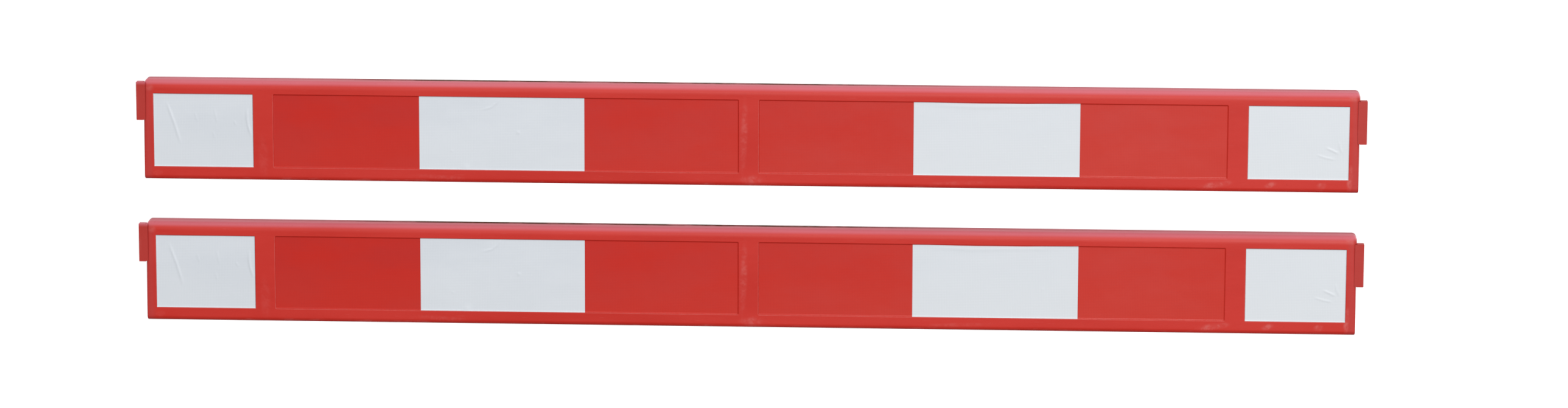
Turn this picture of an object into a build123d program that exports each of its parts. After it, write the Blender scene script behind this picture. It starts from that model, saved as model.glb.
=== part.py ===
"""Pair of moulded plastic barricade rails, one above the other, as separate sub-parts in millimetres.

X runs along the rails, the front faces look along -Y and Z is up. The origin is on the lower rail's
bottom face, at the middle of its length and thickness. Both rails are the same, so every sub-part is
built once, for a rail that stands on Z = 0, and is exported at the height of each rail.
"""

import math
import os

from build123d import *

# One rail
rail_length = 2500.0
rail_height = 208.0
rail_thickness = 55.0
rail_pitch = 298.0
wall = 3.5
corner_radius = 11.0
end_radius = 9.0

# Recesses that hold the sheeting, measured at the frame's surface
end_border = 20.4
end_recess_width = 206.8
rib_width = 41.0
bottom_border = 27.2
top_border = 27.2
recess_depth = 2.5
recess_slope = 1.6
recess_lip_chamfer = 0.8

# Sheeting
film_thickness = 0.5
film_edge_gap = 0.2
outer_red_width = 300.5
middle_white_width = 341.0

# Lip and webs inside the shells
lip_thickness = 1.6
lip_depth = 4.0
lip_root = 6.0
lip_clearance = 0.2
web_thickness = 3.0
web_gap = 0.3
columns_per_half = 4
drain_radius = 3.0
drain_offset = 12.0

# Shell screws, driven from the back
screw_radius = 2.4
screw_bite = 18.0
screw_head_radius = 4.75
screw_head_height = 3.0
screw_sink = 4.5
screw_clearance = 0.05
screw_head_clearance = 0.5
front_boss_radius = 5.5
rear_boss_radius = 8.0
boss_floor = 3.0

# End tongues
tongue_reach = 15.0
tongue_thickness = 16.0
tongue_notch = 4.0
tongue_plate_length = 46.0
tongue_clearance = 0.3
tongue_shoulder = 1.0
tongue_edge_radius = 1.5
left_tongue_drop = 4.0
left_tongue_height = 80.0
right_tongue_drop = 16.0
right_tongue_height = 90.0

# Tongue bolts and nuts
bolt_radius = 3.0
bolt_spacing = 46.0
bolt_clearance = 0.3
bolt_head_across = 10.0
bolt_head_height = 4.0
bolt_sink = 5.5
bolt_head_clearance = 1.0
nut_across = 10.0
nut_thickness = 5.0
nut_clearance = 0.15
clamp_boss_radius = 9.0

# Planes and places that follow from the sizes above
front_y = -rail_thickness / 2
rear_y = rail_thickness / 2
left_end_x = -rail_length / 2
recess_height = rail_height - bottom_border - top_border
recess_middle_z = bottom_border + recess_height / 2
recess_top_z = rail_height - top_border
left_tongue_bottom = rail_height - left_tongue_drop - left_tongue_height
right_tongue_bottom = rail_height - right_tongue_drop - right_tongue_height
rib_centre_x = rail_length / 2 - end_border - end_recess_width - rib_width / 2
long_recess_width = rib_centre_x - rib_width
long_recess_x = rib_centre_x / 2
end_recess_x = rail_length / 2 - end_border - end_recess_width / 2
column_spacing = rib_centre_x / columns_per_half
screw_rows_z = (bottom_border / 2, rail_height - top_border / 2)
panel_inner_y = front_y + recess_depth + wall
tongue_back_y = front_y + tongue_thickness
plate_front_y = panel_inner_y + tongue_clearance
plate_inner_x = left_end_x + tongue_notch + tongue_plate_length
bolt_x = left_end_x + tongue_notch + tongue_plate_length / 2
span = 2 * rail_length


def block(low, high):
    """Box between two corners."""
    size = [b - a for a, b in zip(low, high)]
    middle = [(a + b) / 2 for a, b in zip(low, high)]
    return Pos(*middle) * Box(*size)


def y_rod(radius, x, z, y_from, y_to):
    """Round rod along Y."""
    return Pos(x, (y_from + y_to) / 2, z) * Rot(90, 0, 0) * Cylinder(radius, y_to - y_from)


def y_hexagon(across, x, z, y_from, y_to):
    """Hexagonal prism along Y, of a width across its flats, with two flats level."""
    side = RegularPolygon(across / 2, 6, major_radius=False)
    plane = Plane(origin=(x, y_from, z), x_dir=(1, 0, 0), z_dir=(0, 1, 0))
    return extrude(plane * side, amount=y_to - y_from)


def rail_section(inset):
    """Rail's section across its length, drawn inset all round from the outside."""
    outline = RectangleRounded(rail_thickness - 2 * inset, rail_height - 2 * inset, corner_radius - inset)
    return Pos(0, rail_height / 2) * outline


def rail_prism(inset, end_inset):
    """Solid of the rail's section, run from end to end."""
    start = Plane.YZ.offset(left_end_x + end_inset)
    return extrude(start * rail_section(inset), amount=rail_length - 2 * end_inset)


def rail_blank():
    """Solid rail with its rounded edges and ends, before it is hollowed."""
    blank = rail_prism(0, 0)
    ends = blank.faces().filter_by(Axis.X)
    return fillet(ends.edges(), end_radius)


def recess_places():
    """Middle X and width of each recess, left to right, at the frame's surface."""
    return [
        (-end_recess_x, end_recess_width),
        (-long_recess_x, long_recess_width),
        (long_recess_x, long_recess_width),
        (end_recess_x, end_recess_width),
    ]


def recess_cutters():
    """Tapered pocket of each recess in the front face."""
    taper = math.degrees(math.atan2(recess_slope, recess_depth))
    cutters = []
    for x, width in recess_places():
        plane = Plane(origin=(x, front_y, recess_middle_z), x_dir=(1, 0, 0), z_dir=(0, 1, 0))
        cutters.append(extrude(plane * Rectangle(width, recess_height), amount=recess_depth, taper=taper))
    return cutters


def recess_trays():
    """Wall behind each recess, which steps inwards with it."""
    reach = wall - recess_slope
    trays = []
    for x, width in recess_places():
        low = (x - width / 2 - reach, front_y + wall / 2, bottom_border - reach)
        high = (x + width / 2 + reach, panel_inner_y, recess_top_z + reach)
        trays.append(block(low, high))
    return trays


def half_skin():
    """Front half of the hollow rail, with its recesses, from the face to the parting plane."""
    front_half = block((-span, front_y - wall, -span), (span, 0, span))
    skin = (rail_blank() - rail_prism(wall, wall)) & front_half
    skin = skin + recess_trays() - recess_cutters()
    face = skin.faces().filter_by(Axis.Y).sort_by(Axis.Y)[0]
    lips = [edge for wire in face.inner_wires() for edge in wire.edges()]
    return chamfer(lips, recess_lip_chamfer)


def web_places():
    """X of each stiffening web: one at every screw column, one between and one in each end bay."""
    places = [step * column_spacing / 2 for step in range(-2 * columns_per_half, 2 * columns_per_half + 1)]
    return [-end_recess_x] + places + [end_recess_x]


def webs(y_from, y_to, inset):
    """Upright webs between two planes, which stop at an inset from the rail's outside."""
    fill = rail_prism(inset, inset)
    half = web_thickness / 2
    boxes = [block((x - half, y_from, 0), (x + half, y_to, rail_height)) for x in web_places()]
    return [fill & box for box in boxes]


def screw_places():
    """X and Z of every shell screw: one near the top and one near the bottom of each column."""
    columns = [step * column_spacing for step in range(-columns_per_half, columns_per_half + 1)]
    return [(x, z) for x in columns for z in screw_rows_z]


def lip_ring(clearance, y_from, y_to):
    """Ring just inside the walls, which locates the rear shell."""
    outer = wall + clearance
    inner = wall + lip_clearance + lip_thickness
    rings = []
    for inset in (outer, inner):
        low = (left_end_x + inset, y_from, inset)
        high = (-left_end_x - inset, y_to, rail_height - inset)
        rings.append(block(low, high))
    return rings[0] - rings[1]


def tongue_rows():
    """Side, bottom and height of the two end tongues: -1 is the left end, 1 the right."""
    return [
        (-1, left_tongue_bottom, left_tongue_height),
        (1, right_tongue_bottom, right_tongue_height),
    ]


def bolt_places():
    """X and Z of every tongue bolt."""
    places = []
    for side, bottom, height in tongue_rows():
        middle = bottom + height / 2
        places += [(-side * bolt_x, middle - bolt_spacing / 2), (-side * bolt_x, middle + bolt_spacing / 2)]
    return places


def side_block(side, x_from, x_to, y_from, y_to, z_from, z_to):
    """Box given at the left end, mirrored in X for the right end."""
    xs = sorted((-side * x_from, -side * x_to))
    return block((xs[0], y_from, z_from), (xs[1], y_to, z_to))


def front_shell():
    """Front moulding: recessed skin, webs, screw bosses, locating lip and the two tongue notches."""
    shell = half_skin() + webs(front_y + wall, 0, wall / 2) + webs(0, lip_depth, wall + lip_clearance)
    shell = shell + lip_ring(0, -lip_root, 0) + lip_ring(lip_clearance, 0, lip_depth)
    bosses = [y_rod(front_boss_radius, x, z, front_y + wall / 2, lip_depth) for x, z in screw_places()]
    shell = shell + bosses
    pilot_floor = front_y + wall + boss_floor
    pilots = [y_rod(screw_radius + screw_clearance, x, z, pilot_floor, lip_depth) for x, z in screw_places()]
    shell = shell - pilots
    gap = tongue_clearance
    for side, bottom, height in tongue_rows():
        notch = side_block(
            side,
            left_end_x - wall,
            left_end_x + tongue_notch + gap,
            front_y - wall,
            tongue_back_y + gap,
            bottom + tongue_shoulder - gap,
            bottom + height - tongue_shoulder + gap,
        )
        shell = shell - notch
    return shell


def rear_shell():
    """Rear moulding: the same skin turned to the back, with webs, counterbored bosses and drains."""
    start = lip_depth + web_gap
    shell = mirror(half_skin(), about=Plane.XZ) + webs(start, rear_y - wall, wall / 2)
    shell = shell + [y_rod(rear_boss_radius, x, z, start, rear_y - wall / 2) for x, z in screw_places()]
    shell = shell + [
        y_rod(clamp_boss_radius, x, z, tongue_back_y, rear_y - recess_depth - wall / 2) for x, z in bolt_places()
    ]
    cuts = [y_rod(screw_radius + screw_head_clearance, x, z, start, rear_y) for x, z in screw_places()]
    head_hole = screw_head_radius + screw_head_clearance
    cuts += [y_rod(head_hole, x, z, rear_y - screw_sink, rear_y) for x, z in screw_places()]
    cuts += [y_rod(bolt_radius + bolt_clearance, x, z, tongue_back_y, rear_y) for x, z in bolt_places()]
    bolt_hole = bolt_head_across / math.sqrt(3) + bolt_head_clearance
    cuts += [y_rod(bolt_hole, x, z, rear_y - recess_depth - bolt_sink, rear_y) for x, z in bolt_places()]
    for step in range(-columns_per_half, columns_per_half):
        x = (step + 0.25) * column_spacing
        cuts.append(Pos(x, drain_offset, wall / 2) * Cylinder(drain_radius, 2 * wall))
    return shell - cuts


def end_tongue(side, bottom, height):
    """Tongue that hooks into a post: a head flush with the face, a neck and a plate bolted inside the end."""
    low = bottom + tongue_shoulder
    high = bottom + height - tongue_shoulder
    tip_x = left_end_x - tongue_reach
    shoulder_x = left_end_x - tongue_clearance
    notch_x = left_end_x + tongue_notch
    head = side_block(side, tip_x, shoulder_x, front_y, tongue_back_y, bottom, bottom + height)
    tip = head.faces().sort_by(Axis.X)[-1 if side > 0 else 0]
    tongue = fillet(tip.edges(), tongue_edge_radius)
    tongue = tongue + side_block(side, shoulder_x, notch_x, front_y, tongue_back_y, low, high)
    tongue = tongue + side_block(side, notch_x, plate_inner_x, plate_front_y, tongue_back_y, low, high)
    for x, z in bolt_places():
        if x * side < 0:
            continue
        tongue = tongue - y_rod(bolt_radius + bolt_clearance, x, z, front_y, rear_y)
        pocket_end = plate_front_y + nut_thickness + nut_clearance
        tongue = tongue - y_hexagon(nut_across + 2 * nut_clearance, x, z, front_y, pocket_end)
    return tongue


def shell_screws():
    """Pan-head screws that hold the two shells together."""
    seat = rear_y - screw_sink
    screws = []
    for x, z in screw_places():
        head = y_rod(screw_head_radius, x, z, seat, seat + screw_head_height)
        rim = head.faces().sort_by(Axis.Y)[-1].edges()
        head = fillet(rim, screw_head_height / 2)
        screws.append(head + y_rod(screw_radius, x, z, lip_depth - screw_bite, seat))
    return screws


def tongue_bolts():
    """Hexagon-head bolts that clamp the tongues' plates."""
    seat = rear_y - recess_depth - bolt_sink
    bolts = []
    for x, z in bolt_places():
        head = y_hexagon(bolt_head_across, x, z, seat, seat + bolt_head_height)
        bolts.append(head + y_rod(bolt_radius, x, z, plate_front_y, seat))
    return bolts


def tongue_nuts():
    """Hexagon nuts, held in pockets in the front of the tongues' plates."""
    nuts = []
    for x, z in bolt_places():
        nut = y_hexagon(nut_across, x, z, plate_front_y + nut_clearance, plate_front_y + nut_clearance + nut_thickness)
        nuts.append(nut - y_rod(bolt_radius + screw_clearance, x, z, front_y, rear_y))
    return nuts


def film_strips():
    """Name, left edge and right edge of each sheeting strip on one face, left to right."""
    inset = recess_slope + film_edge_gap
    end_left = end_recess_x - end_recess_width / 2 + inset
    end_right = end_recess_x + end_recess_width / 2 - inset
    long_inner = rib_width / 2 + inset
    long_outer = rib_centre_x - rib_width / 2 - inset
    white_outer = long_outer - outer_red_width
    white_inner = white_outer - middle_white_width
    right_half = [
        ("red_{}_inner", long_inner, white_inner),
        ("white_{}_middle", white_inner, white_outer),
        ("red_{}_outer", white_outer, long_outer),
        ("white_{}_end", end_left, end_right),
    ]
    left = [(name.format("left"), -high, -low) for name, low, high in reversed(right_half)]
    right = [(name.format("right"), low, high) for name, low, high in right_half]
    return left + right


def films(face):
    """Sheeting strips on the recess floors of one face: -1 is the front, 1 the rear."""
    floor = rail_thickness / 2 - recess_depth
    ys = sorted((face * floor, face * (floor + film_thickness)))
    inset = recess_slope + film_edge_gap
    strips = {}
    for name, left, right in film_strips():
        low = (left, ys[0], bottom_border + inset)
        high = (right, ys[1], recess_top_z - inset)
        strips[name] = block(low, high)
    return strips


def rail_nodes():
    """Every sub-part of one rail, by name."""
    nodes = {
        "front_shell": front_shell(),
        "rear_shell": rear_shell(),
        "left_tongue": end_tongue(*tongue_rows()[0]),
        "right_tongue": end_tongue(*tongue_rows()[1]),
        "shell_screws": Compound(children=shell_screws()),
        "tongue_bolts": Compound(children=tongue_bolts()),
        "tongue_nuts": Compound(children=tongue_nuts()),
    }
    for prefix, face in (("front", -1), ("rear", 1)):
        for name, strip in films(face).items():
            nodes[f"{prefix}_{name}"] = strip
    return nodes


os.makedirs("parts", exist_ok=True)
parts = rail_nodes()
for rail, height in (("lower", 0.0), ("upper", rail_pitch)):
    for name, solid in parts.items():
        export_step(Pos(0, 0, height) * solid, f"parts/{rail}_{name}.step")
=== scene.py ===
"""Blender scene of a pair of moulded barricade rails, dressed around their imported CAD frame.

Lengths are metres in the frame's own axes: X runs along the rails, the front faces look along -Y
and Z is up. Every finished piece sits at the origin with its place in its mesh, rides on the body
of its rail and takes its place from the frame's own boxes.
"""

import logging
import math
from dataclasses import dataclass, field, replace
from enum import Enum

import bmesh
import bpy
import numpy as np
from mathutils import Matrix, Vector, noise


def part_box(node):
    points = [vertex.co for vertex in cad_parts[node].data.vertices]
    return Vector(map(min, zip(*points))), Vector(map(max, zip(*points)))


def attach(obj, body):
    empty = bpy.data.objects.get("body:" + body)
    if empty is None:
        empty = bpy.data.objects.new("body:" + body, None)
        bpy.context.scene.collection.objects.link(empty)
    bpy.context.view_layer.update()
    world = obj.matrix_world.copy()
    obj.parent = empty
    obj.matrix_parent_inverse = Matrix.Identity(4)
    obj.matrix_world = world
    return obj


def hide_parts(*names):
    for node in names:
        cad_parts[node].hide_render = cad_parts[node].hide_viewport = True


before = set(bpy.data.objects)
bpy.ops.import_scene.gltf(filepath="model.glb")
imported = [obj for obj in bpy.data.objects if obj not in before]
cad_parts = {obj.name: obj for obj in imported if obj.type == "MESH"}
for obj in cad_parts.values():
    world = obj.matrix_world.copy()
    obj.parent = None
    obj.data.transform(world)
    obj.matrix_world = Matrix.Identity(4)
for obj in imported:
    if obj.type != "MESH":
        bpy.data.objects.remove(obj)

MM = 0.001
Triple = tuple[float, float, float]
Colour = Triple
Point = tuple[float, float]
Band = tuple[float, float]
log = logging.getLogger("barricade_rails")
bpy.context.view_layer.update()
FRONT_FACE_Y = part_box("lower_front_shell")[0].y


class Side(Enum):
    """Face of a rail, with the sign of its outward Y direction."""

    FRONT = -1
    REAR = 1


class Boolean(Enum):
    """What is done with one solid to another."""

    CUT = "DIFFERENCE"
    JOIN = "UNION"


class RailName(Enum):
    """One of the two rails, which are the same moulding at two heights."""

    LOWER = "lower"
    UPPER = "upper"

    @property
    def body(self) -> str:
        """Name of the CAD body that carries the rail."""
        return f"{self.value}_rail"


# ---------------------------------------------------------------- shader maths


class Value:
    """A shader socket that Python expressions can combine into Math nodes."""

    def __init__(self, graph: "Graph", socket: bpy.types.NodeSocket) -> None:
        """Keep the socket and the graph that it belongs to."""
        self.graph = graph
        self.socket = socket

    def _math(self, operation: str, first: "Value | float", second: "Value | float") -> "Value":
        """Add one Math node.

        Args:
            operation: The node's operation.
            first: Its first input.
            second: Its second input.

        Returns:
            The node's result.
        """
        return self.graph.add("ShaderNodeMath", {"operation": operation}, {0: first, 1: second})

    def __add__(self, other: "Value | float") -> "Value":
        """Sum."""
        return self._math("ADD", self, other)

    __radd__ = __add__

    def __sub__(self, other: "Value | float") -> "Value":
        """Difference."""
        return self._math("SUBTRACT", self, other)

    def __rsub__(self, other: float) -> "Value":
        """Difference from a number."""
        return self._math("SUBTRACT", other, self)

    def __mul__(self, other: "Value | float") -> "Value":
        """Product."""
        return self._math("MULTIPLY", self, other)

    __rmul__ = __mul__

    def __or__(self, other: "Value | float") -> "Value":
        """Larger of two masks."""
        return self._math("MAXIMUM", self, other)

    def at_least(self, least: float) -> "Value":
        """Mask squeezed into the range from least to 1."""
        return self * (1.0 - least) + least

    def band(self, low: float, high: float) -> "Value":
        """Smooth step of this value.

        Args:
            low: Value at which the step is 0.
            high: Value at which the step is 1; it may be under low.

        Returns:
            A mask from 0 to 1.
        """
        settings = {"interpolation_type": "SMOOTHSTEP"}
        if low < high:
            return self.graph.add("ShaderNodeMapRange", settings, {0: self, 1: low, 2: high})
        return 1.0 - self.graph.add("ShaderNodeMapRange", settings, {0: self, 1: high, 2: low})


class Graph:
    """Node graph of one material."""

    MIX_COLOURS = (6, 7)
    MIX_RESULT = 2

    def __init__(self, name: str) -> None:
        """Make an empty material of that name.

        Args:
            name: The material's name.
        """
        self.material = bpy.data.materials.new(name)
        self.material.use_nodes = True
        self.tree = self.material.node_tree
        self.tree.nodes.clear()

    def add(
        self, kind: str, settings: dict | None = None, inputs: dict | None = None, output: int | str = 0
    ) -> Value:
        """Add one node.

        Args:
            kind: The node's type.
            settings: Its attributes, set first.
            inputs: Values or numbers for its sockets, by name or index.
            output: Name or index of the output that is returned.

        Returns:
            The chosen output.
        """
        node = self.tree.nodes.new(kind)
        for key, value in (settings or {}).items():
            setattr(node, key, value)
        for key, value in (inputs or {}).items():
            if isinstance(value, Value):
                self.tree.links.new(value.socket, node.inputs[key])
            else:
                node.inputs[key].default_value = value
        return Value(self, node.outputs[output])

    def place(self, drop: float) -> Value:
        """Object coordinates, with Z counted from the rail's own bottom.

        Args:
            drop: Height of the rail's bottom in the frame.

        Returns:
            The place as a vector.
        """
        coordinates = self.add("ShaderNodeTexCoord", output="Object")
        inputs = {0: coordinates, 1: (0.0, 0.0, drop)}
        return self.add("ShaderNodeVectorMath", {"operation": "SUBTRACT"}, inputs)

    def stretched(self, place: Value, factors: Triple) -> Value:
        """Place scaled by one factor along each axis."""
        return self.add("ShaderNodeVectorMath", {"operation": "MULTIPLY"}, {0: place, 1: factors})

    def axis(self, place: Value, index: int) -> Value:
        """One coordinate of a place."""
        return self.add("ShaderNodeSeparateXYZ", inputs={0: place}, output=index)

    def mix(self, factor: Value, first: "Colour | Value", second: "Colour | Value") -> Value:
        """Mix of two colours.

        Args:
            factor: 0 for the first colour, 1 for the second.
            first: Colour or link.
            second: Colour or link.

        Returns:
            The mixed colour.
        """
        colours = [(*c, 1.0) if isinstance(c, tuple) else c for c in (first, second)]
        inputs = {0: factor} | dict(zip(self.MIX_COLOURS, colours))
        return self.add("ShaderNodeMix", {"data_type": "RGBA"}, inputs, self.MIX_RESULT)

    def bump(self, height: Value, distance: float, strength: float) -> Value:
        """Normal that is tilted by a height map."""
        inputs = {"Height": height, "Distance": distance, "Strength": strength}
        return self.add("ShaderNodeBump", inputs=inputs)

    def finish(self, inputs: dict) -> bpy.types.Material:
        """Close the graph with a Principled shader.

        Args:
            inputs: The shader's values or numbers by socket name.

        Returns:
            The finished material.
        """
        return self.close(self.add("ShaderNodeBsdfPrincipled", inputs=inputs))

    def close(self, shader: Value) -> bpy.types.Material:
        """Lead a shader to the material's output and return the material.

        Args:
            shader: The shader.

        Returns:
            The finished material.
        """
        output = self.tree.nodes.new("ShaderNodeOutputMaterial")
        self.tree.links.new(shader.socket, output.inputs["Surface"])
        return self.material


# ---------------------------------------------------------------- finishes

PLASTIC_IOR = 1.5
NOISE_RANGE: Band = (0.3, 0.7)
LENGTHWISE: Triple = (0.22, 1.0, 1.0)


@dataclass(frozen=True)
class Pattern:
    """Noise pattern, and the mask that it makes.

    The scale is in features per metre, the stretch is a factor along each axis, and the band holds
    the noise at which the mask is 0 and at which it is full.
    """

    scale: float
    detail: float = 3.0
    rough: float = 0.5
    band: Band = NOISE_RANGE
    strength: float = 1.0
    stretch: Triple = (1.0, 1.0, 1.0)

    def noise(self, graph: Graph, place: Value) -> Value:
        """Bare noise, mostly from 0.3 to 0.7.

        Args:
            graph: The material's graph.
            place: Place that the noise is read at.

        Returns:
            The noise.
        """
        vector = graph.stretched(place, self.stretch)
        inputs = {"Vector": vector, "Scale": self.scale, "Detail": self.detail, "Roughness": self.rough}
        return graph.add("ShaderNodeTexNoise", {"noise_dimensions": "3D"}, inputs)

    def mask(self, graph: Graph, place: Value) -> Value:
        """Mask from 0 to the pattern's strength."""
        return self.noise(graph, place).band(*self.band) * self.strength


@dataclass(frozen=True)
class Scuff:
    """Soft patch of rubbed plastic on a rail's front, with its centre on the face.

    Sizes are millimetres from the rail's middle and bottom, and the tilt is in degrees. The core is
    the share of the patch's reach within which it is fully rubbed.
    """

    x: float
    z: float
    half_width: float
    half_height: float
    tilt: float = 0.0
    strength: float = 1.0
    half_depth: float = 20.0
    core: float = 0.25

    def mask(self, graph: Graph, place: Value) -> Value:
        """Mask of the patch, full at its core and 0 at its rim.

        Args:
            graph: The material's graph.
            place: Place on the rail.

        Returns:
            The mask.
        """
        inputs = {
            "Vector": place,
            "Location": (self.x * MM, FRONT_FACE_Y, self.z * MM),
            "Rotation": (0.0, math.radians(self.tilt), 0.0),
            "Scale": (self.half_width * MM, self.half_depth * MM, self.half_height * MM),
        }
        local = graph.add("ShaderNodeMapping", {"vector_type": "TEXTURE"}, inputs)
        distance = graph.add("ShaderNodeVectorMath", {"operation": "LENGTH"}, {0: local}, "Value")
        return distance.band(1.0, self.core) * self.strength


RAIL_SCUFFS = (
    Scuff(-10.0, 104.0, 10.0, 95.0, 2.0, 0.42),
    Scuff(6.0, 14.0, 34.0, 12.0, 0.0, 0.50),
    Scuff(-1003.0, 50.0, 14.0, 60.0, -3.0, 0.16),
    Scuff(958.0, 15.0, 44.0, 9.0, -9.0, 0.75),
    Scuff(1071.0, 16.0, 17.0, 8.0, -14.0, 0.75),
    Scuff(1174.0, 15.0, 13.0, 9.0, -20.0, 0.80),
    Scuff(1232.0, 30.0, 8.0, 34.0, 4.0, 0.80),
    # Painted highlight: this patch at the top right corner paints the rounded corner's highlight as paler
    # rubbed plastic.
    Scuff(1236.0, 197.0, 14.0, 8.0, 0.0, 0.60),
    Scuff(-1238.0, 192.0, 12.0, 9.0, 0.0, 0.35),
    Scuff(-1222.0, 14.0, 12.0, 9.0, 0.0, 0.40),
    Scuff(-640.0, 12.0, 70.0, 7.0, 3.0, 0.25),
    Scuff(430.0, 12.0, 90.0, 6.0, -2.0, 0.25),
)
TONGUE_SCUFFS = (Scuff(-1262.0, 160.0, 5.0, 30.0, 0.0, 0.25),)


@dataclass(frozen=True)
class RailPlastic:
    """Red moulded polyethylene, weathered paler in soft clouds and rubbed pale where it gets knocked.

    It also carries painted light: painted shade towards its rounded ends, a pinkish painted sky sheen
    along the top rounding and painted highlights along the lower and left recess rims. Bands of place
    are in metres from the rail's middle, parting line and bottom.
    """

    light: Colour = (0.573, 0.021, 0.011)
    deep: Colour = (0.535, 0.015, 0.006)
    # Paler red of rubbed plastic, which also paints the highlight along the lower and left recess rims.
    rubbed: Colour = (0.620, 0.120, 0.105)
    # Painted sheen: the pinkish pale tint of sky reflection on the top rounding.
    painted_sheen: Colour = (0.605, 0.130, 0.158)
    grime: Colour = (0.260, 0.016, 0.010)
    soil: Colour = (0.075, 0.040, 0.022)
    clouds: Pattern = Pattern(14.0, 4.0, 0.55, (0.34, 0.66), stretch=LENGTHWISE)
    # Painted shade: a darker red over the last few centimetres of each rounded end.
    end_shade: Colour = (0.490, 0.034, 0.028)
    end_shade_band: Band = (1.226, 1.242)
    end_shade_share: float = 0.8
    blotches: Pattern = Pattern(95.0, 5.0, 0.62, (0.40, 0.66))
    least_patch: float = 0.2
    chafing: Pattern = Pattern(120.0, 5.0, 0.65, (0.50, 0.70), 0.55, LENGTHWISE)
    top_corner: Band = (0.199, 0.206)
    low_corner: Band = (0.009, 0.002)
    scratches: Pattern = Pattern(620.0, 2.0, 0.5, (0.66, 0.74), 0.20, (0.05, 1.0, 1.0))
    # Painted highlight: thin paler lines along each recess's lower and left rims.
    rim_outside: float = 1.2 * MM
    rim_core: float = 1.4 * MM
    rim_inside: float = 2.6 * MM
    rim_fade: float = 1.0 * MM
    rim_strength: float = 0.75
    least_rim: float = 0.6
    # Painted sheen along the top rounding between these heights, broken a little by the clouds.
    sheen_band: Band = (0.1962, 0.2048)
    sheen_clouds: Band = (0.30, 0.60)
    least_sheen: float = 0.85
    dirt: Pattern = Pattern(210.0, 4.0, 0.6, (0.60, 0.78), 0.22)
    soil_across: Band = (-0.002, 0.004)
    soil_height: Band = (0.188, 0.196)
    soil_left: Band = (-0.98, -0.60)
    soil_right: Band = (0.50, 0.10)
    soil_middle: float = 0.70
    soil_all_along: float = 0.25
    soil_breaks: Pattern = Pattern(60.0, 5.0, 0.65, (0.36, 0.56), stretch=(0.35, 1.0, 1.0))
    least_soil: float = 0.5
    roughness: float = 0.46
    cloud_roughness: float = 0.07
    worn_roughness: float = 0.18
    dirt_roughness: float = 0.3
    specular: float = 0.4
    grain: Pattern = Pattern(420.0, 2.0, 0.6)
    swell: Pattern = Pattern(36.0, stretch=LENGTHWISE)
    swell_share: float = 4.0
    relief_height: float = 0.16 * MM
    relief_strength: float = 0.5

    def build(
        self, name: str, drop: float, scuffs: tuple[Scuff, ...], openings: tuple["Opening", ...] = ()
    ) -> bpy.types.Material:
        """Make the material.

        Args:
            name: The material's name.
            drop: Height of the rail's bottom in the frame.
            scuffs: Rubbed patches of the front face.
            openings: Recesses whose lower and left rims get a painted highlight.

        Returns:
            The finished material.
        """
        graph = Graph(name)
        place = graph.place(drop)
        along, height = graph.axis(place, 0), graph.axis(place, 2)
        clouds = self.clouds.noise(graph, place)
        colour = graph.mix(clouds.band(*self.clouds.band), self.deep, self.light)
        # Painted shade towards each rounded end of the rail.
        start, full = self.end_shade_band
        ends = along.band(start, full) | along.band(-start, -full)
        colour = graph.mix(ends * self.end_shade_share, colour, self.end_shade)
        # Rubbed plastic, together with painted highlights along the lower and left recess rims.
        rubbed_and_rim_lit = self.wear_and_rim_highlight(graph, place, scuffs, openings)
        colour = graph.mix(rubbed_and_rim_lit, colour, self.rubbed)
        # Painted sky sheen: a pinkish pale band along the top rounding.
        sheen = height.band(*self.sheen_band) * clouds.band(*self.sheen_clouds).at_least(self.least_sheen)
        colour = graph.mix(sheen, colour, self.painted_sheen)
        dirt = self.dirt.mask(graph, place)
        colour = graph.mix(dirt, colour, self.grime)
        rough = self.roughness + clouds.band(*NOISE_RANGE) * self.cloud_roughness
        rough = rough + rubbed_and_rim_lit * self.worn_roughness + dirt * self.dirt_roughness
        bumps = self.grain.noise(graph, place) + self.swell.noise(graph, place) * self.swell_share
        relief = graph.bump(bumps, self.relief_height, self.relief_strength)
        inputs = {"Base Color": colour, "Roughness": rough, "Normal": relief, "IOR": PLASTIC_IOR}
        inputs["Specular IOR Level"] = self.specular
        plastic = graph.add("ShaderNodeBsdfPrincipled", inputs=inputs)
        matt = {"Base Color": (*self.soil, 1.0), "Roughness": 1.0, "Specular IOR Level": 0.0}
        soil = graph.add("ShaderNodeBsdfPrincipled", inputs=matt)
        soiled = self.soiled_top(graph, place)
        return graph.close(graph.add("ShaderNodeMixShader", inputs={0: soiled, 1: plastic, 2: soil}))

    def wear_and_rim_highlight(
        self, graph: Graph, place: Value, scuffs: tuple[Scuff, ...], openings: tuple["Opening", ...]
    ) -> Value:
        """Mask of the rubbed plastic and of the painted rim highlights.

        Args:
            graph: The material's graph.
            place: Place on the rail.
            scuffs: Rubbed patches of the front face.
            openings: Recesses whose lower and left rims get a painted highlight.

        Returns:
            The mask, with the scuffs, the long corners, the scratches and the painted rim highlights
            together.
        """
        along, height = graph.axis(place, 0), graph.axis(place, 2)
        patches = scuffs[0].mask(graph, place)
        for scuff in scuffs[1:]:
            patches = patches | scuff.mask(graph, place)
        blotches = self.blotches.mask(graph, place)
        corners = height.band(*self.top_corner) | height.band(*self.low_corner)
        rubbed_and_rim_lit = patches * blotches.at_least(self.least_patch)
        rubbed_and_rim_lit = rubbed_and_rim_lit | (corners * self.chafing.mask(graph, place)) | self.scratches.mask(graph, place)
        # Painted highlight along each recess's lower and left rims.
        for opening in openings:
            rubbed_and_rim_lit = rubbed_and_rim_lit | (self.rim_highlight(along, height, opening) * blotches.at_least(self.least_rim))
        return rubbed_and_rim_lit

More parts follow.
